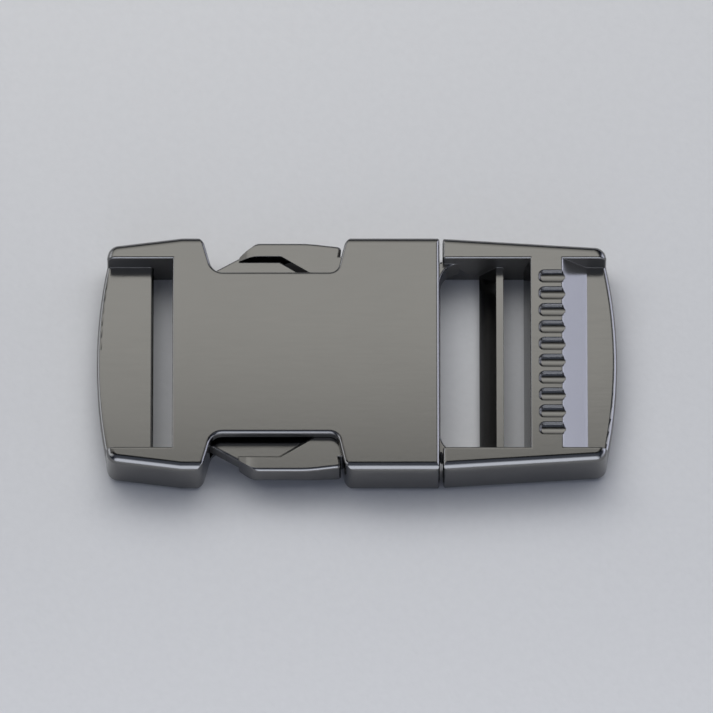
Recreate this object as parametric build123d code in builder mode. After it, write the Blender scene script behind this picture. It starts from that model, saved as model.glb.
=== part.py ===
from build123d import *

import os
from math import atan2, copysign, cos, degrees, pi, radians, sin, tan

os.makedirs("parts", exist_ok=True)

# Side-release buckle for 25 mm webbing, latched shut, in millimetres.
# X runs along the strap, from the socket's end bar (-X) to the plug's end bar (+X).
# Y runs across the strap and Z is up. The origin is the middle of the underside.

# ---- overall size ----
length = 66.2
half_length = length / 2
half_width = 16.05
height = 7.2
mid_height = height / 2
slot_half = 13.0  # half of each 26 mm webbing slot

# ---- castings ----
edge_round = 0.45  # rounding of every cast edge
top_round = 1.0  # larger rounding along the outer sides
bottom_round = 0.85
bar_side_round = 0.6  # outer edges of the end bars
slot_round = 0.25  # rounding where webbing runs over an edge
bar_round = 0.45
bar_overlap = 0.2  # how far a separately shaped bar runs into the rails
tail_corner_round = 1.5
bar_bottom = 1.4  # end bars are set back from both faces, so that a webbing loop lies flush
bar_top = 4.1
reach = 2.0  # how far a cutting shape runs past the surface that it cuts

# ---- socket ----
mouth_x = 10.5
mouth_corner_round = 0.6
mouth_chamfer = 0.3
plate = 1.3
chamber_top = height - plate
chamber_half = 13.8
nose_chamber_half = 12.4
chamber_end_x = -21.9
socket_taper_x = -22.3
socket_tail_corner = (-31.5, 14.86)
socket_slot_outer_x = -25.9
socket_slot_inner_x = -23.45
notch_floor_y = 11.15
notch_left_foot_x = -18.35
notch_left_lean = 15.5
notch_right_foot_x = -2.49
notch_right_lean = 13.0
guide_inner_y = 3.0
guide_outer_y = 4.2
guide_end_x = -16.0

# ---- plug frame ----
rail_x = 10.9
rail_start_half = 16.0
plug_tail_corner = (31.45, 14.68)
head_clearance = 0.15
head_bottom = plate + head_clearance
head_top = chamber_top - head_clearance
head_left_x = 5.9
head_right_x = 10.1
head_half = 13.55
crossbar_x = 10.6
crossbar_bottom = 1.85
crossbar_top = height - crossbar_bottom
crossbar_corner = 2.5
centre_bar_left_x = 15.6
centre_bar_ridge_x = 17.75
centre_bar_right_x = 18.65
centre_bar_top = 4.15
centre_bar_shoulder = 1.3
centre_bar_bottom = 0.9
grip_lip_x = 21.25
grip_lip_z = 2.6
grip_left_x = 22.1
facet_top_x = 26.1
facet_top_round = 0.35
facet_foot_x = 29.3

# ---- grip grooves ----
groove_count = 10
groove_pitch = 2.33
groove_half = 0.93
groove_left_x = 23.08
groove_point_start_x = 26.2
groove_point_x = 27.0
groove_corner_round = 0.75
groove_lip_depth = 0.045  # the soft lip round each groove
groove_lip_run = 0.14
groove_wall_depth = 0.28
groove_wall_run = 0.3
groove_bottom_radius = 1.6
groove_bottom_depth = 0.13

# ---- tongue ----
tongue_half = 3.4
tongue_tip_half = 2.85
tongue_tip_x = -19.5
wing_left_x = -12.0
wing_right_x = -8.0
wing_left_half = 6.45
wing_right_half = 7.05

# ---- levers ----
pivot_x = 7.6
pivot_y = 12.0
pin_radius = 0.75
pin_running_gap = 0.04
eye_radius = 1.55
eye_thickness = 2.0
clevis_gap = 0.05
clevis_inner_y = 9.9
clevis_end_x = 9.35
lever_inner_y = 9.6
ledge_bottom = 2.4
ledge_top = 4.8
ledge_round = 0.25
pad_bottom = 1.45
pad_top = 5.75
pad_step_lean = 0.54  # how far the step between ledge and pad leans back over its height
pad_top_round = 0.42
pad_bottom_round = 1.5
pad_fold_x = -13.3  # the pad's end slopes down from here
pad_fold_round = 4.0
pad_end_drop = 0.75
arm_outer_y = 13.72

# ---- return springs ----
spring_x = -1.0
spring_radius = 1.1  # to the middle of the wire
wire_radius = 0.175
spring_turns = 9
end_closing = 0.6
coil_steps = 108  # points along the wire, twelve to a turn
spring_bore = 1.45
tongue_seat_y = 1.4
lever_seat_y = 11.4
seat_gap = 0.02
seat_extra = 0.6


def nearest_corners(sketch, points):
    """The corner of a sketch under construction that lies nearest to each point."""
    return [sketch.vertices().sort_by_distance(point)[0] for point in points]


def mirrored(points):
    """The same points on the other side of the strap's centre line."""
    return [(x, -y) for x, y in points]


def tail_plan(side, tip_x):
    """Plan of one half of the buckle. Its side ends at the tail corner, and the tail bulges to tip_x."""
    with BuildSketch() as plan:
        with BuildLine():
            Polyline(*side)
            Polyline(*mirrored(side))
            Line(side[0], mirrored(side)[0])
            ThreePointArc(side[-1], (tip_x, 0), mirrored(side)[-1])
        make_face()
        tail_corners = [side[-1], mirrored(side)[-1]]
        fillet(nearest_corners(plan, tail_corners), tail_corner_round)
    return plan.sketch


def envelope(plan, mating_x):
    """A tall block over the plan, with the large roundings on all edges but those of its mating end."""
    with BuildPart() as block:
        add(plan)
        extrude(amount=height)
        sides = block.edges().filter_by(lambda edge: abs(edge.center().X - mating_x) > edge_round)
        fillet(sides.group_by(Axis.Z)[-1], top_round)
        sides = block.edges().filter_by(lambda edge: abs(edge.center().X - mating_x) > edge_round)
        fillet(sides.group_by(Axis.Z)[0], bottom_round)
    return block.part


def end_bar(plan, inner_x):
    """The bar across one tail, with its outer edges rounded. It runs a little way into both rails."""
    with BuildPart() as bar:
        with BuildSketch(Plane.XY.offset(bar_bottom)):
            add(plan)
            with Locations((inner_x + copysign(half_length, inner_x), 0)):
                Rectangle(2 * half_length, 2 * (slot_half + bar_overlap), mode=Mode.INTERSECT)
        extrude(amount=bar_top - bar_bottom)
        fillet(bar.edges().filter_by(GeomType.CIRCLE), bar_side_round)
    return bar.part


# ---------------------------------------------------------------- socket housing
socket_side = [(mouth_x, half_width), (socket_taper_x, half_width), socket_tail_corner]
socket_plan = tail_plan(socket_side, -half_length)
socket_envelope = envelope(socket_plan, mouth_x)

left_lean = tan(radians(notch_left_lean))
right_lean = tan(radians(notch_right_lean))


def notch_left(y):
    """X of the notch's left wall at a distance y from the centre line."""
    return notch_left_foot_x - (y - notch_floor_y) * left_lean


def notch_right(y):
    """X of the notch's right wall, which is also the catch wall."""
    return notch_right_foot_x + (y - notch_floor_y) * right_lean


notch_outline = [
    (notch_left(half_width + reach), half_width + reach),
    (notch_left_foot_x, notch_floor_y),
    (notch_right_foot_x, notch_floor_y),
    (notch_right(half_width + reach), half_width + reach),
]
notch_rounds = [
    ((notch_left(half_width), half_width), 1.5),
    ((notch_left_foot_x, notch_floor_y), 1.7),
    ((notch_right_foot_x, notch_floor_y), 1.3),
    ((notch_right(half_width), half_width), 1.5),
    ((mouth_x, half_width), mouth_corner_round),
]

with BuildSketch() as notched_plan:
    add(socket_plan)
    for outline in (notch_outline, mirrored(notch_outline)):
        with BuildLine():
            Polyline(*outline, close=True)
        make_face(mode=Mode.SUBTRACT)
    for corner, radius in notch_rounds:
        fillet(nearest_corners(notched_plan, [corner, *mirrored([corner])]), radius)


def opening_edges(part, level, low_x, high_x, half=slot_half):
    """Edges at one level, between two places along the strap and at most half from its centre line."""
    return part.edges().filter_by(
        lambda edge: abs(edge.center().Z - level) < 0.01
        and low_x - 0.01 < edge.center().X < high_x + 0.01
        and abs(edge.center().Y) < half + 0.01
    )


socket_end_bar = end_bar(socket_plan, socket_slot_outer_x)

with BuildPart() as socket_housing:
    add(notched_plan.sketch)
    extrude(amount=height)
    fillet(socket_housing.edges().group_by(Axis.Z)[-1], edge_round)
    fillet(socket_housing.edges().group_by(Axis.Z)[0], edge_round)
    add(socket_envelope, mode=Mode.INTERSECT)
    # chamber for the plug, with two guide ribs for the tongue's tip
    with BuildSketch(Plane.XY.offset(plate)):
        with Locations(((mouth_x + reach + notch_left_foot_x) / 2, 0)):
            Rectangle(mouth_x + reach - notch_left_foot_x, 2 * chamber_half)
        with Locations(((chamber_end_x + guide_end_x) / 2, 0)):
            Rectangle(guide_end_x - chamber_end_x, 2 * nose_chamber_half)
        for side in (1, -1):
            with Locations(((chamber_end_x + guide_end_x) / 2, side * (guide_inner_y + guide_outer_y) / 2)):
                Rectangle(guide_end_x - chamber_end_x, guide_outer_y - guide_inner_y, mode=Mode.SUBTRACT)
    extrude(amount=chamber_top - plate, mode=Mode.SUBTRACT)
    # webbing opening, from the slot out through the tail
    with BuildSketch():
        with Locations((socket_slot_inner_x - half_length / 2, 0)):
            Rectangle(half_length, 2 * slot_half)
    extrude(amount=height, mode=Mode.SUBTRACT)
    for level in (height, 0):
        fillet(opening_edges(socket_housing.part, level, -half_length, socket_slot_inner_x), slot_round)
    add(socket_end_bar)
    for level in (bar_top, bar_bottom):
        fillet(opening_edges(socket_housing.part, level, socket_slot_outer_x, socket_slot_outer_x, 0), bar_round)
    mouth_edges = socket_housing.edges().filter_by(
        lambda edge: abs(edge.center().X - mouth_x) < 0.01
        and abs(edge.center().Y) < chamber_half + 0.01
        and plate - 0.01 < edge.center().Z < chamber_top + 0.01
    )
    chamfer(mouth_edges, mouth_chamfer)
socket_housing.part.label = "socket_housing"
export_step(socket_housing.part, "parts/socket_housing.step")


# ---------------------------------------------------------------- plug frame
groove_outline = [
    (groove_left_x, groove_half),
    (groove_left_x, -groove_half),
    (groove_point_start_x, -groove_half),
    (groove_point_x, 0),
    (groove_point_start_x, groove_half),
]
groove_floor_z = height - groove_wall_depth

# the shape of one grip groove: leaning walls round it, a hollowed bottom and a pointed end towards the facet
with BuildSketch() as groove_top:
    with BuildLine():
        Polyline(*groove_outline, close=True)
    make_face()
    fillet(nearest_corners(groove_top, groove_outline[:2]), groove_corner_round)
with BuildPart() as groove_hollow:
    with BuildSketch(Plane.XY.offset(groove_floor_z)):
        offset(groove_top.sketch, amount=-groove_wall_run)
    extrude(amount=-groove_bottom_depth)
    with BuildSketch(Plane.YZ.offset(groove_left_x)):
        with Locations((0, groove_floor_z - groove_bottom_depth + groove_bottom_radius)):
            Circle(groove_bottom_radius)
    extrude(amount=groove_point_x - groove_left_x, mode=Mode.INTERSECT)
with BuildPart() as groove_cutter:
    with BuildSketch(Plane.XY.offset(height)):
        add(groove_top.sketch)
    with BuildSketch(Plane.XY.offset(height - groove_lip_depth)):
        offset(groove_top.sketch, amount=-groove_lip_run)
    with BuildSketch(Plane.XY.offset(groove_floor_z)):
        offset(groove_top.sketch, amount=-groove_wall_run)
    loft(ruled=True)
    add(groove_hollow.part)

plug_side = [(rail_x, rail_start_half), plug_tail_corner]
plug_plan = tail_plan(plug_side, half_length)
plug_envelope = envelope(plug_plan, rail_x)
facet_slope = (height - bar_top) / (facet_foot_x - facet_top_x)
grip_lean = (grip_left_x - grip_lip_x) / (height - grip_lip_z)

# side view (X, Z) of the space between the rails: both slots, with the middle bar standing up between them
slot_profile = [
    (rail_x - reach, -reach),
    (centre_bar_left_x, -reach),
    (centre_bar_left_x, centre_bar_shoulder),
    (centre_bar_ridge_x, centre_bar_top),
    (centre_bar_right_x, centre_bar_top),
    (centre_bar_right_x, -reach),
    (grip_lip_x, -reach),
    (grip_lip_x, grip_lip_z),
    (grip_left_x + reach * grip_lean, height + reach),
    (rail_x - reach, height + reach),
]
# side view of the sloped facet, with the space for the set-back end bar behind it
facet_profile = [
    (facet_top_x - reach / facet_slope, height + reach),
    (facet_foot_x, bar_top),
    (facet_foot_x + reach / 2, bar_top),
    (facet_foot_x + reach / 2, -reach),
    (half_length + reach, -reach),
    (half_length + reach, height + reach),
]
# side views of the clearance for webbing underneath
centre_bar_relief = [
    (centre_bar_left_x - reach / 2, -reach),
    (centre_bar_right_x + reach / 2, -reach),
    (centre_bar_right_x + reach / 2, centre_bar_bottom),
    (centre_bar_left_x - reach / 2, centre_bar_bottom),
]
tail_relief = [
    (grip_lip_x - reach / 2, -reach),
    (half_length + reach, -reach),
    (half_length + reach, bar_bottom),
    (grip_lip_x - reach / 2, bar_bottom),
]

gusset_x = crossbar_x + crossbar_corner
gusset_y = slot_half - crossbar_corner

# the tongue's outline on the +Y side, from its tip to the head
tongue_side = [
    (tongue_tip_x, tongue_tip_half - 1.0),
    (tongue_tip_x + 1.2, tongue_tip_half),
    (wing_left_x - 2.0, tongue_tip_half),
    (wing_left_x - 2.0, tongue_half),
    (wing_left_x, wing_left_half),
    (wing_right_x, wing_right_half),
    (wing_right_x + 2.5, tongue_half),
    (head_right_x, tongue_half),
]

plug_end_bar = end_bar(plug_plan, facet_foot_x)

gusset_overlap = slot_half + bar_overlap - gusset_y

with BuildPart() as crossbar:
    with BuildSketch(Plane.XY.offset(crossbar_bottom)):
        with Locations(((head_left_x + crossbar_x) / 2, 0)):
            Rectangle(crossbar_x - head_left_x, 2 * slot_half)
        for side in (1, -1):
            with Locations((gusset_x - crossbar_corner / 2, side * (gusset_y + gusset_overlap / 2))):
                Rectangle(crossbar_corner, gusset_overlap)
        for side in (1, -1):
            with Locations((gusset_x, side * gusset_y)):
                Circle(crossbar_corner, mode=Mode.SUBTRACT)
    extrude(amount=crossbar_top - crossbar_bottom)
    slot_side = crossbar.edges().filter_by(
        lambda edge: edge.geom_type == GeomType.CIRCLE or abs(edge.center().X - crossbar_x) < 0.01
    )
    fillet(slot_side.group_by(Axis.Z)[-1], slot_round)
    slot_side = crossbar.edges().filter_by(
        lambda edge: edge.geom_type == GeomType.CIRCLE or abs(edge.center().X - crossbar_x) < 0.01
    )
    fillet(slot_side.group_by(Axis.Z)[0], slot_round)

with BuildPart() as plug_frame:
    add(plug_plan)
    extrude(amount=height)
    fillet(plug_frame.edges().filter_by(Axis.Z).group_by(Axis.X)[0], mouth_corner_round)
    fillet(plug_frame.edges().group_by(Axis.Z)[-1], edge_round)
    fillet(plug_frame.edges().group_by(Axis.Z)[0], edge_round)
    add(plug_envelope, mode=Mode.INTERSECT)
    for profile in (slot_profile, facet_profile, centre_bar_relief, tail_relief):
        with BuildSketch(Plane.XZ):
            with BuildLine():
                Polyline(*profile, close=True)
            make_face()
        extrude(amount=slot_half, both=True, mode=Mode.SUBTRACT)
    fillet(opening_edges(plug_frame.part, height, rail_x - 0.5, grip_left_x), slot_round)
    fillet(opening_edges(plug_frame.part, height, facet_top_x, facet_top_x), facet_top_round)
    add(plug_end_bar)
    # grip grooves
    for index in range(groove_count):
        with Locations((0, (index - (groove_count - 1) / 2) * groove_pitch, 0)):
            add(groove_cutter.part, mode=Mode.SUBTRACT)
    # head inside the mouth, joined to the rails by the crossbar
    with BuildSketch(Plane.XY.offset(head_bottom)):
        with Locations(((head_left_x + head_right_x) / 2, 0)):
            Rectangle(head_right_x - head_left_x, 2 * head_half)
    extrude(amount=head_top - head_bottom)
    add(crossbar.part)
    # rounding of the rails' inner edges, above along the end bar and below along the whole frame
    for start_x, level, inward in ((facet_top_x, height, -1), (rail_x - reach, 0, 1)):
        with BuildSketch(Plane.YZ.offset(start_x)):
            for side in (1, -1):
                with Locations((side * (slot_half + slot_round / 2), level + inward * slot_round / 2)):
                    Rectangle(slot_round, slot_round)
            for side in (1, -1):
                with Locations((side * (slot_half + slot_round), level + inward * slot_round)):
                    Circle(slot_round, mode=Mode.SUBTRACT)
        extrude(amount=half_length, mode=Mode.SUBTRACT)
    # tongue, with wings that stop the levers' inward swing
    with BuildSketch(Plane.XY.offset(head_bottom)):
        with BuildLine():
            Polyline(*tongue_side, *reversed(mirrored(tongue_side)), close=True)
        make_face()
    extrude(amount=head_top - head_bottom)
    for side in (1, -1):
        # clevis for the lever's eye
        with BuildSketch(Plane.XY.offset(mid_height - eye_thickness / 2 - clevis_gap)):
            with Locations(((clevis_end_x + head_left_x - reach) / 2, side * (clevis_inner_y + half_width) / 2)):
                Rectangle(clevis_end_x - head_left_x + reach, half_width - clevis_inner_y)
        extrude(amount=eye_thickness + 2 * clevis_gap, mode=Mode.SUBTRACT)
        # pin hole through both cheeks
        with BuildSketch():
            with Locations((pivot_x, side * pivot_y)):
                Circle(pin_radius)
        extrude(amount=height, mode=Mode.SUBTRACT)
        # spring seat in the tongue
        with BuildSketch(Plane.XZ.offset(-side * tongue_seat_y)):
            with Locations((spring_x, mid_height)):
                Circle(spring_bore)
        extrude(amount=-side * reach * 2, mode=Mode.SUBTRACT)
plug_frame.part.label = "plug_frame"
export_step(plug_frame.part, "parts/plug_frame.step")


# ---------------------------------------------------------------- latch levers
ledge_outline = [
    (5.4, 13.5),
    (2.0, arm_outer_y),
    (-2.2, arm_outer_y),
    (-2.3, 14.2),
    (-15.0, 14.0),
    (-17.8, 12.4),
    (-20.0, 11.1),
    (-19.2, lever_inner_y),
    (-1.5, lever_inner_y),
    (1.6, 10.0),
    (5.4, 10.5),
]
pad_tip_y = 15.74
pad_ramp_foot = (-15.0, 14.0)
pad_ramp_top = (-12.85, pad_tip_y)
pad_outer = [pad_ramp_foot, pad_ramp_top, (-6.2, pad_tip_y), (-1.95, 15.22)]
pad_rounds = [0.5, 1.5, 20.0, 0.5]
step_foot = (-3.79, lever_inner_y)
step_bend = (-9.86, 13.35)
pad_inner = [
    (-2.2, arm_outer_y),
    (1.6, arm_outer_y),
    (1.6, 10.0),
    (-1.5, lever_inner_y),
    step_foot,
    step_bend,
    (-15.05, step_bend[1]),
]
# region over the ledge that the leaning step leaves free
step_run = (step_foot[0] - step_bend[0]) / (step_bend[1] - step_foot[1])
step_clearance = [
    (step_foot[0] + reach * step_run, step_foot[1] - reach),
    step_bend,
    (pad_ramp_foot[0] - reach, step_bend[1]),
    (pad_ramp_foot[0] - reach, step_foot[1] - reach),
]
step_taper = degrees(atan2(pad_step_lean, pad_top - ledge_top))
nose_corners = [(-20.0, 11.1), (-19.2, lever_inner_y)]
nose_round = 0.5
eye_arm_outline = [
    (pivot_x, pivot_y + eye_radius),
    (3.0, 13.5),
    (3.0, 10.4),
    (pivot_x, pivot_y - eye_radius),
]

# side view (X, Z) of what the slope at the pad's end takes away
pad_end_slope = pad_end_drop / (pad_fold_x - pad_ramp_foot[0])
pad_fold = (pad_fold_x, pad_top)
pad_slope_profile = [
    (pad_ramp_foot[0] - reach, pad_top - pad_end_drop - reach * pad_end_slope),
    pad_fold,
    (pad_fold_x + reach, pad_top),
    (pad_fold_x + reach, pad_top + reach),
    (pad_ramp_foot[0] - reach, pad_top + reach),
]

with BuildPart() as latch_ledge:
    with BuildSketch(Plane.XY.offset(ledge_bottom)) as ledge_plan:
        with BuildLine():
            Polyline(*ledge_outline, close=True)
        make_face()
        fillet(nearest_corners(ledge_plan, nose_corners), nose_round)
    extrude(amount=ledge_top - ledge_bottom)
    for level in (ledge_top, ledge_bottom):
        fillet(opening_edges(latch_ledge.part, level, nose_corners[0][0], pad_ramp_foot[0]), ledge_round)

with BuildPart() as rear_latch_lever:
    with BuildSketch(Plane.XY.offset(pad_bottom)) as pad_plan:
        with BuildLine():
            Polyline(*pad_outer, *pad_inner, close=True)
        make_face()
        for corner, radius in zip(pad_outer, pad_rounds):
            fillet(nearest_corners(pad_plan, [corner]), radius)
    extrude(amount=pad_top - pad_bottom)
    outer_top_edges = rear_latch_lever.edges().filter_by(
        lambda edge: abs(edge.center().Z - pad_top) < 0.01 and edge.center().Y > arm_outer_y + 0.3
    )
    fillet(outer_top_edges, pad_top_round)
    with BuildSketch(Plane.YZ.offset(pad_ramp_foot[0] - reach)) as pad_section:
        with Locations((pad_tip_y / 2, (pad_bottom + pad_top) / 2)):
            Rectangle(pad_tip_y, pad_top - pad_bottom)
        fillet(nearest_corners(pad_section, [(pad_tip_y, pad_bottom)]), pad_bottom_round)
    extrude(amount=half_length, mode=Mode.INTERSECT)
    with BuildSketch(Plane.XY.offset(ledge_top)):
        with BuildLine():
            Polyline(*step_clearance, close=True)
        make_face()
    extrude(amount=pad_top - ledge_top, taper=-step_taper, mode=Mode.SUBTRACT)
    with BuildSketch(Plane.XZ) as pad_slope:
        with BuildLine():
            Polyline(*pad_slope_profile, close=True)
        make_face()
        fillet(nearest_corners(pad_slope, [pad_fold]), pad_fold_round)
    extrude(amount=half_width, both=True, mode=Mode.SUBTRACT)
    add(latch_ledge.part)
    with BuildSketch(Plane.XY.offset(mid_height - eye_thickness / 2)):
        with BuildLine():
            Polyline(*eye_arm_outline, close=True)
        make_face()
        with Locations((pivot_x, pivot_y)):
            Circle(eye_radius)
    extrude(amount=eye_thickness)
    with BuildSketch():
        with Locations((pivot_x, pivot_y)):
            Circle(pin_radius + pin_running_gap)
    extrude(amount=height, mode=Mode.SUBTRACT)
    # spring seat, long enough along the strap for the coil to stay clear as the lever swings
    with BuildSketch(Plane.XZ.offset(-lever_seat_y)):
        with Locations((spring_x - seat_extra / 2, mid_height)):
            SlotCenterToCenter(seat_extra, 2 * spring_bore)
    extrude(amount=2 * reach, mode=Mode.SUBTRACT)
rear_latch_lever.part.label = "rear_latch_lever"
export_step(rear_latch_lever.part, "parts/rear_latch_lever.step")

with BuildPart() as front_latch_lever:
    mirror(rear_latch_lever.part, about=Plane.XZ)
front_latch_lever.part.label = "front_latch_lever"
export_step(front_latch_lever.part, "parts/front_latch_lever.step")


# ---------------------------------------------------------------- pivot pins
def pivot_pin(side):
    """A plain pin pressed into both cheeks, with chamfered ends."""
    with BuildPart() as pin:
        with BuildSketch(Plane.XY.offset(head_bottom)):
            with Locations((pivot_x, side * pivot_y)):
                Circle(pin_radius)
        extrude(amount=head_top - head_bottom)
        chamfer(pin.edges().filter_by(GeomType.CIRCLE), 0.15)
    return pin.part


# ---------------------------------------------------------------- return springs
coil_length = lever_seat_y - tongue_seat_y - 2 * seat_gap - 2 * wire_radius
coil_start_y = tongue_seat_y + seat_gap + wire_radius


def coil_point(share):
    """A point on the wire's centre line, share of the way along it. The end turns lie close together."""
    angle = 2 * pi * spring_turns * share
    rise = share - end_closing * sin(2 * pi * share) / (2 * pi)
    return (
        spring_x + spring_radius * cos(angle),
        coil_start_y + coil_length * rise,
        mid_height + spring_radius * sin(angle),
    )


with BuildPart() as rear_return_spring:
    with BuildLine() as wire:
        Spline(*[coil_point(step / coil_steps) for step in range(coil_steps + 1)])
    with BuildSketch(Plane(origin=wire.line @ 0, z_dir=wire.line % 0)):
        Circle(wire_radius)
    sweep(is_frenet=True)
rear_return_spring.part.label = "rear_return_spring"
export_step(rear_return_spring.part, "parts/rear_return_spring.step")

with BuildPart() as front_return_spring:
    mirror(rear_return_spring.part, about=Plane.XZ)
front_return_spring.part.label = "front_return_spring"
export_step(front_return_spring.part, "parts/front_return_spring.step")


rear_pivot_pin = pivot_pin(1)
rear_pivot_pin.label = "rear_pivot_pin"
export_step(rear_pivot_pin, "parts/rear_pivot_pin.step")

front_pivot_pin = pivot_pin(-1)
front_pivot_pin.label = "front_pivot_pin"
export_step(front_pivot_pin, "parts/front_pivot_pin.step")
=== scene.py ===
import math

import bmesh
import bpy
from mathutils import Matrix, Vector


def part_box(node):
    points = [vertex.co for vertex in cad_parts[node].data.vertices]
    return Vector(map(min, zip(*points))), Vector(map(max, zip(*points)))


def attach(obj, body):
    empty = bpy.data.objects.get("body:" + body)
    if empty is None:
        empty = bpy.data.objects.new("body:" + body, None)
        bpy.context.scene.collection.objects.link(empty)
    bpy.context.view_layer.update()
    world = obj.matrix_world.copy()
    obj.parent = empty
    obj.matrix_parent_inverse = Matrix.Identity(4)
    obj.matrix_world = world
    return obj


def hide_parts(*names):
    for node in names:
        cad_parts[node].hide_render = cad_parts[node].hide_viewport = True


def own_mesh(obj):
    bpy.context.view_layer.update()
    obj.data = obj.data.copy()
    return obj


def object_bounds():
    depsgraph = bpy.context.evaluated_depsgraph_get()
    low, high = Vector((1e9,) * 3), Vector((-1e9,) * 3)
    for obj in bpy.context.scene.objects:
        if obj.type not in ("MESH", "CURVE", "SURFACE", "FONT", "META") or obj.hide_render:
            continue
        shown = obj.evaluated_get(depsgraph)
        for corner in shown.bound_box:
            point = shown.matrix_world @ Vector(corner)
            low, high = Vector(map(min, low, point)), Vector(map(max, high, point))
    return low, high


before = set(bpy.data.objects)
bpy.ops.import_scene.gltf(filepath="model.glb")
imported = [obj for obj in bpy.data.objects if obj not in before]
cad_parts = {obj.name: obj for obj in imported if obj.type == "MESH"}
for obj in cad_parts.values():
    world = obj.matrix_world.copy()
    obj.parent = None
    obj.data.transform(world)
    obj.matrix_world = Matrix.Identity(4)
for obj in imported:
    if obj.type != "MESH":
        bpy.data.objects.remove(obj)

cad_low, cad_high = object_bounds()
cad_box = [list(cad_low), list(cad_high)]

MM = 0.001

# The photograph's view: from in front and above, with a very long lens.
VIEW_ELEVATION = math.radians(67)
VIEW_DISTANCE = 2.1
VIEW_AIM = Vector((-0.06 * MM, -0.62 * MM, cad_box[1][2]))
LENS = 835
SENSOR = 36

EDGE_SOFTNESS = 0.1 * MM  # rounding that the shading gives to sharp edges
WEBBING_HALF = 13.05 * MM  # half the length of a webbing slot


# ---------------------------------------------------------------- node helpers
class Nodes:
    """Short calls for building one node tree."""

    def __init__(self, tree):
        self.tree = tree
        tree.nodes.clear()

    def add(self, kind, **values):
        """A node of this kind. Names of its own properties set those; other names set its inputs."""
        node = self.tree.nodes.new(kind)
        for name, value in values.items():
            if hasattr(node, name):
                setattr(node, name, value)
            else:
                self.feed(node.inputs[name.replace("_", " ")], value)
        return node

    def feed(self, socket, value):
        """Links an output to the input, or sets the input's own value."""
        if isinstance(value, bpy.types.NodeSocket):
            self.tree.links.new(value, socket)
        else:
            socket.default_value = value

    def math(self, operation, first, second=0.0):
        node = self.add("ShaderNodeMath", operation=operation)
        self.feed(node.inputs[0], first)
        self.feed(node.inputs[1], second)
        return node.outputs[0]

    def vector(self, operation, first, second=(0, 0, 0)):
        node = self.add("ShaderNodeVectorMath", operation=operation)
        self.feed(node.inputs[0], first)
        self.feed(node.inputs[1], second)
        return node.outputs["Value"] if operation == "DOT_PRODUCT" else node.outputs[0]

    def remap(self, value, low, high, to_low=0.0, to_high=1.0, smooth=False):
        node = self.add("ShaderNodeMapRange", interpolation_type="SMOOTHSTEP" if smooth else "LINEAR")
        for name, number in (("Value", value), ("From Min", low), ("From Max", high)):
            self.feed(node.inputs[name], number)
        self.feed(node.inputs["To Min"], to_low)
        self.feed(node.inputs["To Max"], to_high)
        return node.outputs[0]

    def parts(self, vector):
        """The vector's X, Y and Z outputs."""
        split = self.add("ShaderNodeSeparateXYZ")
        self.feed(split.inputs[0], vector)
        return split.outputs

    def mix(self, share, first, second):
        """A colour that goes from first to second."""
        node = self.add("ShaderNodeMix", data_type="RGBA")
        self.feed(node.inputs[0], share)
        self.feed(node.inputs[6], first)
        self.feed(node.inputs[7], second)
        return node.outputs[2]

    def noise(self, coordinates, scale, detail=2.0, roughness=0.5):
        node = self.add("ShaderNodeTexNoise")
        self.feed(node.inputs["Vector"], coordinates)
        self.feed(node.inputs["Scale"], scale)
        self.feed(node.inputs["Detail"], detail)
        self.feed(node.inputs["Roughness"], roughness)
        return node.outputs["Fac"]


# ---------------------------------------------------------------- materials
NOISE_RANGE = (0.3, 0.7)  # where most of a noise texture's values lie
MOTTLE_GAIN = 1.14
WEAR_STRAIGHTNESS = (0.999, 0.93)  # from no wear to full wear, as the edge bends the normal
WEAR_SHARE = 0.3
WEAR_ROUGHNESS = 0.08
END_WALL_TURN = 0.7
AS_CAST_ROUGHNESS = 0.32


def scaled(colour, gain):
    """The colour made lighter or darker, and opaque."""
    return tuple(channel * gain for channel in colour[:3]) + (1.0,)


def new_material(name):
    """An empty material and its node helper."""
    material = bpy.data.materials.new(name)
    material.use_nodes = True
    return material, Nodes(material.node_tree)


def show(nodes, surface, kind="ShaderNodeOutputMaterial"):
    """Links a finished surface to the tree's output."""
    nodes.feed(nodes.add(kind).inputs["Surface"], surface)


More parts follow.
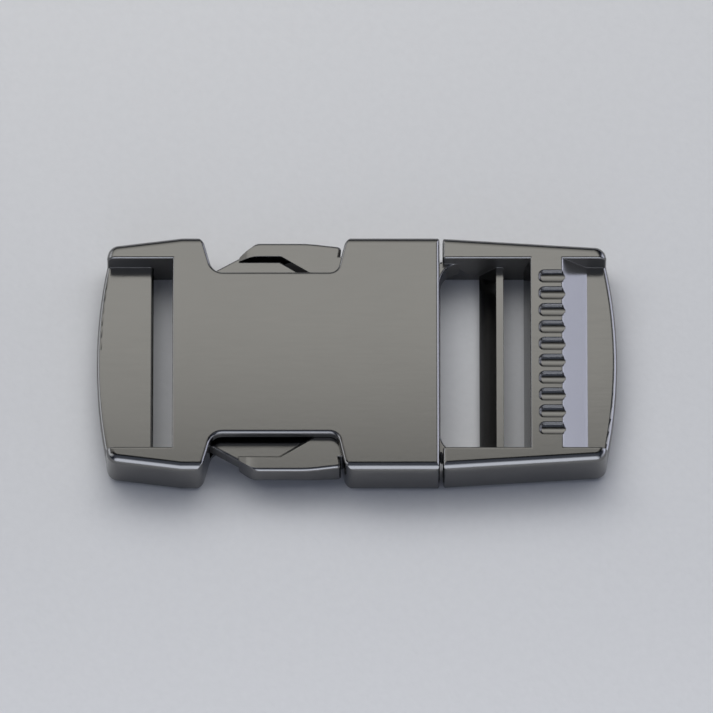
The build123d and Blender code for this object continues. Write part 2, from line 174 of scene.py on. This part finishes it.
def plated_metal(name, base, roughness, wear_colour, grain_scale):
    """Black nickel plating over a polished casting, with faint mottling and brighter, rougher worn edges."""
    material, nodes = new_material(name)
    place = nodes.add("ShaderNodeTexCoord").outputs["Object"]
    cloud = nodes.noise(place, 90, 3)
    grain = nodes.noise(place, grain_scale, 2)
    brushed = nodes.noise(nodes.vector("MULTIPLY", place, (300, 5200, 5200)), 1, 2)

    shape_normal = nodes.add("ShaderNodeNewGeometry").outputs["Normal"]
    bevel = nodes.add("ShaderNodeBevel", samples=4)
    nodes.feed(bevel.inputs["Radius"], EDGE_SOFTNESS)
    straightness = nodes.vector("DOT_PRODUCT", bevel.outputs[0], shape_normal)
    edge = nodes.remap(straightness, *WEAR_STRAIGHTNESS, smooth=True)
    wear = nodes.math("MULTIPLY", edge, nodes.remap(nodes.noise(place, 420, 4), 0.42, 0.66))

    tone = nodes.mix(cloud, base, scaled(base, MOTTLE_GAIN))
    colour = nodes.mix(nodes.math("MULTIPLY", wear, WEAR_SHARE), tone, wear_colour)
    rough = nodes.math("ADD", nodes.remap(cloud, *NOISE_RANGE, roughness * 0.85, roughness * 1.2),
                       nodes.remap(brushed, *NOISE_RANGE, -0.015, 0.02))
    rough = nodes.math("ADD", rough, nodes.math("MULTIPLY", wear, WEAR_ROUGHNESS))
    # the end walls of the webbing openings are left as cast, so they are satin
    aside = nodes.math("ABSOLUTE", nodes.parts(place)["Y"])
    turned = nodes.math("ABSOLUTE", nodes.parts(shape_normal)["Y"])
    within = nodes.math("LESS_THAN", aside, WEBBING_HALF)
    as_cast = nodes.math("MULTIPLY", within, nodes.math("GREATER_THAN", turned, END_WALL_TURN))
    rough = nodes.math("ADD", rough, nodes.math("MULTIPLY", as_cast, AS_CAST_ROUGHNESS))

    bump = nodes.add("ShaderNodeBump", Strength=0.12)
    nodes.feed(bump.inputs["Distance"], 0.02 * MM)
    nodes.feed(bump.inputs["Height"], nodes.math("ADD", grain, nodes.math("MULTIPLY", brushed, 0.25)))
    nodes.feed(bump.inputs["Normal"], bevel.outputs[0])

    shader = nodes.add("ShaderNodeBsdfPrincipled", Metallic=1.0)
    nodes.feed(shader.inputs["Base Color"], colour)
    nodes.feed(shader.inputs["Roughness"], rough)
    nodes.feed(shader.inputs["Normal"], bump.outputs[0])
    show(nodes, shader.outputs[0])
    return material


def steel(name, base, roughness, line_scale):
    """Drawn steel: fine lines along its length, in place of the casting's mottling."""
    material, nodes = new_material(name)
    place = nodes.add("ShaderNodeTexCoord").outputs["Object"]
    lines = nodes.noise(nodes.vector("MULTIPLY", place, line_scale), 1, 3)
    cloud = nodes.noise(place, 700, 2)
    bump = nodes.add("ShaderNodeBump", Strength=0.2)
    nodes.feed(bump.inputs["Distance"], 0.01 * MM)
    nodes.feed(bump.inputs["Height"], lines)
    shader = nodes.add("ShaderNodeBsdfPrincipled", Metallic=1.0)
    nodes.feed(shader.inputs["Base Color"], nodes.mix(cloud, base, scaled(base, 0.8)))
    nodes.feed(shader.inputs["Roughness"], nodes.remap(lines, *NOISE_RANGE, roughness * 0.8, roughness * 1.3))
    nodes.feed(shader.inputs["Normal"], bump.outputs[0])
    show(nodes, shader.outputs[0])
    return material


def floor_sheet(name):
    """Pale lavender-grey sheet with a fine leather-like grain."""
    material, nodes = new_material(name)
    place = nodes.add("ShaderNodeTexCoord").outputs["Object"]
    cells = nodes.add("ShaderNodeTexVoronoi", feature="SMOOTH_F1")
    nodes.feed(cells.inputs["Vector"], place)
    nodes.feed(cells.inputs["Scale"], 1500)
    mottle = nodes.noise(place, 900, 3)
    height = nodes.math("ADD", cells.outputs["Distance"], nodes.math("MULTIPLY", mottle, 0.8))
    bump = nodes.add("ShaderNodeBump", Strength=0.5)
    nodes.feed(bump.inputs["Distance"], 0.04 * MM)
    nodes.feed(bump.inputs["Height"], height)
    shader = nodes.add("ShaderNodeBsdfPrincipled")
    colour = nodes.mix(mottle, (0.63, 0.637, 0.655, 1), (0.67, 0.677, 0.695, 1))
    nodes.feed(shader.inputs["Base Color"], colour)
    nodes.feed(shader.inputs["Roughness"], 0.62)
    nodes.feed(shader.inputs["Specular IOR Level"], 0.3)
    nodes.feed(shader.inputs["Normal"], bump.outputs[0])
    # clear from below, so that the buckle's underside can be looked at
    sides = nodes.add("ShaderNodeMixShader")
    nodes.feed(sides.inputs[0], nodes.add("ShaderNodeNewGeometry").outputs["Backfacing"])
    nodes.feed(sides.inputs[1], shader.outputs[0])
    nodes.feed(sides.inputs[2], nodes.add("ShaderNodeBsdfTransparent").outputs[0])
    show(nodes, sides.outputs[0])
    return material


# ---------------------------------------------------------------- pieces
def mesh_object(name, mesh):
    """Turns a bmesh into an object of the scene."""
    data = bpy.data.meshes.new(name)
    mesh.to_mesh(data)
    mesh.free()
    piece = bpy.data.objects.new(name, data)
    bpy.context.scene.collection.objects.link(piece)
    return piece


COIL_STEPS_PER_TURN = 28
COIL_CLOSING = 0.6  # how close together the end turns lie
WIRE_SIDES = 10


def coil_spring(name, seat, length, side, radius, wire, turns):
    """A compression spring as a swept tube. It starts at the seat and runs along Y, with closed end turns."""
    steps = turns * COIL_STEPS_PER_TURN
    start = Vector(seat)
    mesh = bmesh.new()
    rings = []

    def centre(share):
        angle = 2 * math.pi * turns * share
        rise = share - COIL_CLOSING * math.sin(2 * math.pi * share) / (2 * math.pi)
        along = wire + (length - 2 * wire) * rise
        return start + Vector((radius * math.cos(angle), side * along, radius * math.sin(angle)))

    for step in range(steps + 1):
        share = step / steps
        here = centre(share)
        ahead = (centre(min(share + 1e-4, 1)) - centre(max(share - 1e-4, 0))).normalized()
        outward = Vector((here.x - start.x, 0, here.z - start.z)).normalized()
        across = ahead.cross(outward).normalized()
        outward = across.cross(ahead)
        angles = [2 * math.pi * corner / WIRE_SIDES for corner in range(WIRE_SIDES)]
        round_wire = [math.cos(angle) * outward + math.sin(angle) * across for angle in angles]
        rings.append([mesh.verts.new(here + wire * spoke) for spoke in round_wire])
    for first, second in zip(rings, rings[1:]):
        for corner in range(WIRE_SIDES):
            after = (corner + 1) % WIRE_SIDES
            mesh.faces.new((first[corner], first[after], second[after], second[corner]))
    mesh.faces.new(reversed(rings[0]))
    mesh.faces.new(rings[-1])
    bmesh.ops.recalc_face_normals(mesh, faces=mesh.faces)
    piece = mesh_object(name, mesh)
    for face in piece.data.polygons:
        face.use_smooth = True
    return piece


def dress(node_name, material):
    """Gives a CAD node its material."""
    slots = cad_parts[node_name].material_slots
    for slot in slots:
        slot.material = material


casting = plated_metal("casting_black_nickel", (0.168, 0.166, 0.161, 1), 0.17, (0.34, 0.335, 0.33, 1), 1400)
lever_metal = plated_metal("lever_black_nickel", (0.172, 0.170, 0.165, 1), 0.19, (0.36, 0.355, 0.35, 1), 1900)
pin_steel = steel("pin_drawn_steel", (0.55, 0.55, 0.56, 1), 0.24, (300, 300, 9000))
wire_steel = steel("spring_wire_steel", (0.62, 0.62, 0.63, 1), 0.22, (9000, 400, 9000))

for node_name in ("socket_housing", "plug_frame"):
    dress(node_name, casting)
for node_name in ("rear_latch_lever", "front_latch_lever"):
    dress(node_name, lever_metal)
for node_name in ("rear_pivot_pin", "front_pivot_pin"):
    dress(node_name, pin_steel)

# The coil springs shorten as their lever is pressed. Each CAD spring is replaced by a swept coil with a mesh
# of its own, fixed to the plug.
COIL_RADIUS = 1.1 * MM
WIRE_RADIUS = 0.175 * MM
COIL_TURNS = 9
for side, end in ((1, "rear"), (-1, "front")):
    low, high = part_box(f"{end}_return_spring")
    seat_y = low[1] if side > 0 else high[1]
    seat = ((low[0] + high[0]) / 2, seat_y, (low[2] + high[2]) / 2)
    spring = coil_spring(f"{end}_coil", seat, high[1] - low[1], side, COIL_RADIUS, WIRE_RADIUS, COIL_TURNS)
    spring.data.materials.append(wire_steel)
    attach(spring, "plug")
    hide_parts(f"{end}_return_spring")
    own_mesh(spring)


# ---------------------------------------------------------------- floor
FLOOR_SIZE = 1.5
FLOOR_GAP = 0.01 * MM


def pale_floor():
    mesh = bmesh.new()
    bmesh.ops.create_grid(mesh, x_segments=1, y_segments=1, size=FLOOR_SIZE)
    sheet = mesh_object("floor", mesh)
    sheet.location.z = cad_box[0][2] - FLOOR_GAP
    sheet.data.materials.append(floor_sheet("pale_sheet"))


pale_floor()


# ---------------------------------------------------------------- light
ROOM_GLOW = (0.046, 0.058, 0.094, 1)
BACKDROP = (0.56, 0.57, 0.6, 1)
WINDOWS_ON_TABLE = 0.2
TOP_LIGHT = 1.43
PANEL_HEIGHT = 150 * MM
FILL_ELEVATION = math.radians(58)
FILL_AZIMUTHS = (-55, -5, 45)
FILL_ENERGY = 0.98
FILL_ANGLE = math.radians(50)


def bearing(turn, rise):
    """The direction at an azimuth from +Y towards +X and an elevation."""
    return Vector((math.sin(turn) * math.cos(rise), math.cos(turn) * math.cos(rise), math.sin(rise)))


def soft_sky():
    """The room round the table: dim, with soft windows. Each window fades out between two angles."""
    world = bpy.data.worlds.new("soft_sky")
    bpy.context.scene.world = world
    world.use_nodes = True
    nodes = Nodes(world.node_tree)
    direction = nodes.add("ShaderNodeTexCoord").outputs["Generated"]
    # in degrees: (azimuth from +Y towards +X, elevation, full within, gone beyond, strength, colour)
    windows = (
        (70, 6, 10, 32, 3.1, (0.77, 0.80, 1.0)),
        (64, 36, 4, 16, 1.7, (0.90, 0.92, 1.0)),
        (110, 6, 8, 28, 1.6, (0.84, 0.87, 1.0)),
        (-70, 30, 18, 44, 1.95, (0.93, 0.95, 1.0)),
        (180, 62, 10, 40, 0.22, (0.80, 0.86, 1.0)),
        (180, 16, 18, 40, 2.75, (0.84, 0.88, 1.0)),
    )
    total = nodes.mix(0.0, ROOM_GLOW, (0, 0, 0, 1))
    path = nodes.add("ShaderNodeLightPath")
    # the windows are mirrored at full strength in the metal, and light the table less
    mirrored = nodes.remap(path.outputs["Is Glossy Ray"], 0, 1, WINDOWS_ON_TABLE, 1.0)
    for azimuth, elevation, inner, outer, strength, tint in windows:
        towards = bearing(math.radians(azimuth), math.radians(elevation))
        facing = nodes.vector("DOT_PRODUCT", direction, towards)
        share = nodes.remap(facing, math.cos(math.radians(outer)), math.cos(math.radians(inner)), smooth=True)
        glow = nodes.vector("SCALE", tuple(tint))
        brightness = nodes.math("MULTIPLY", nodes.math("MULTIPLY", share, strength), mirrored)
        nodes.feed(glow.node.inputs["Scale"], brightness)
        total = nodes.vector("ADD", total, glow)
    seen = path.outputs["Is Camera Ray"]
    background = nodes.add("ShaderNodeBackground")
    nodes.feed(background.inputs["Color"], nodes.mix(seen, total, BACKDROP))
    nodes.feed(background.inputs["Strength"], 1.0)
    show(nodes, background.outputs[0], "ShaderNodeOutputWorld")


def overhead_panel():
    """A soft light above and behind. Its near edge fades, which shades the top face towards the front."""
    low_x, high_x, low_y, high_y = -260 * MM, 120 * MM, -5 * MM, 460 * MM
    mesh = bmesh.new()
    corners = ((low_x, low_y), (high_x, low_y), (high_x, high_y), (low_x, high_y))
    mesh.faces.new([mesh.verts.new((x, y, PANEL_HEIGHT)) for x, y in corners])
    panel = mesh_object("overhead_panel", mesh)
    panel.visible_camera = False
    panel.visible_shadow = False

    material, nodes = new_material("overhead_light")
    place = nodes.add("ShaderNodeTexCoord").outputs["Object"]
    split = nodes.parts(place)
    across, back = split["X"], split["Y"]
    near = nodes.remap(back, 18 * MM, 66 * MM, smooth=True)
    far = nodes.remap(back, 75 * MM, 330 * MM, 1.0, 0.14)
    right = nodes.remap(across, 30 * MM, 105 * MM, 1.0, 0.0, smooth=True)
    left = nodes.remap(across, -255 * MM, -120 * MM, smooth=True)
    streaks = nodes.noise(nodes.vector("MULTIPLY", place, (22, 95, 1)), 1, 2)
    share = nodes.math("MULTIPLY", nodes.math("MULTIPLY", near, far), nodes.math("MULTIPLY", left, right))
    share = nodes.math("MULTIPLY", share, nodes.remap(streaks, *NOISE_RANGE, 0.95, 1.05))
    emission = nodes.add("ShaderNodeEmission")
    nodes.feed(emission.inputs["Color"], (1.0, 0.99, 0.955, 1))
    nodes.feed(emission.inputs["Strength"], nodes.math("MULTIPLY", share, TOP_LIGHT))
    show(nodes, emission.outputs[0])
    panel.data.materials.append(material)


def table_fill():
    """Broad soft lamps behind and above. They brighten the table but aren't mirrored in the metal."""
    for index, azimuth in enumerate(FILL_AZIMUTHS):
        data = bpy.data.lights.new(f"table_fill_{index}", "SUN")
        data.energy = FILL_ENERGY
        data.angle = FILL_ANGLE
        lamp = bpy.data.objects.new(f"table_fill_{index}", data)
        away = bearing(math.radians(azimuth), FILL_ELEVATION)
        lamp.rotation_euler = away.to_track_quat("Z", "Y").to_euler()
        lamp.visible_glossy = False
        bpy.context.scene.collection.objects.link(lamp)


soft_sky()
overhead_panel()
table_fill()


# ---------------------------------------------------------------- camera
def photo_camera():
    data = bpy.data.cameras.new("photo_view")
    data.lens = LENS
    data.sensor_width = SENSOR
    data.clip_end = 20
    camera = bpy.data.objects.new("photo_view", data)
    back = Vector((0, -math.cos(VIEW_ELEVATION), math.sin(VIEW_ELEVATION)))
    camera.location = VIEW_AIM + back * VIEW_DISTANCE
    camera.rotation_euler = (math.pi / 2 - VIEW_ELEVATION, 0, 0)
    bpy.context.scene.collection.objects.link(camera)
    bpy.context.scene.camera = camera


photo_camera()
bpy.context.scene.view_settings.view_transform = "Standard"
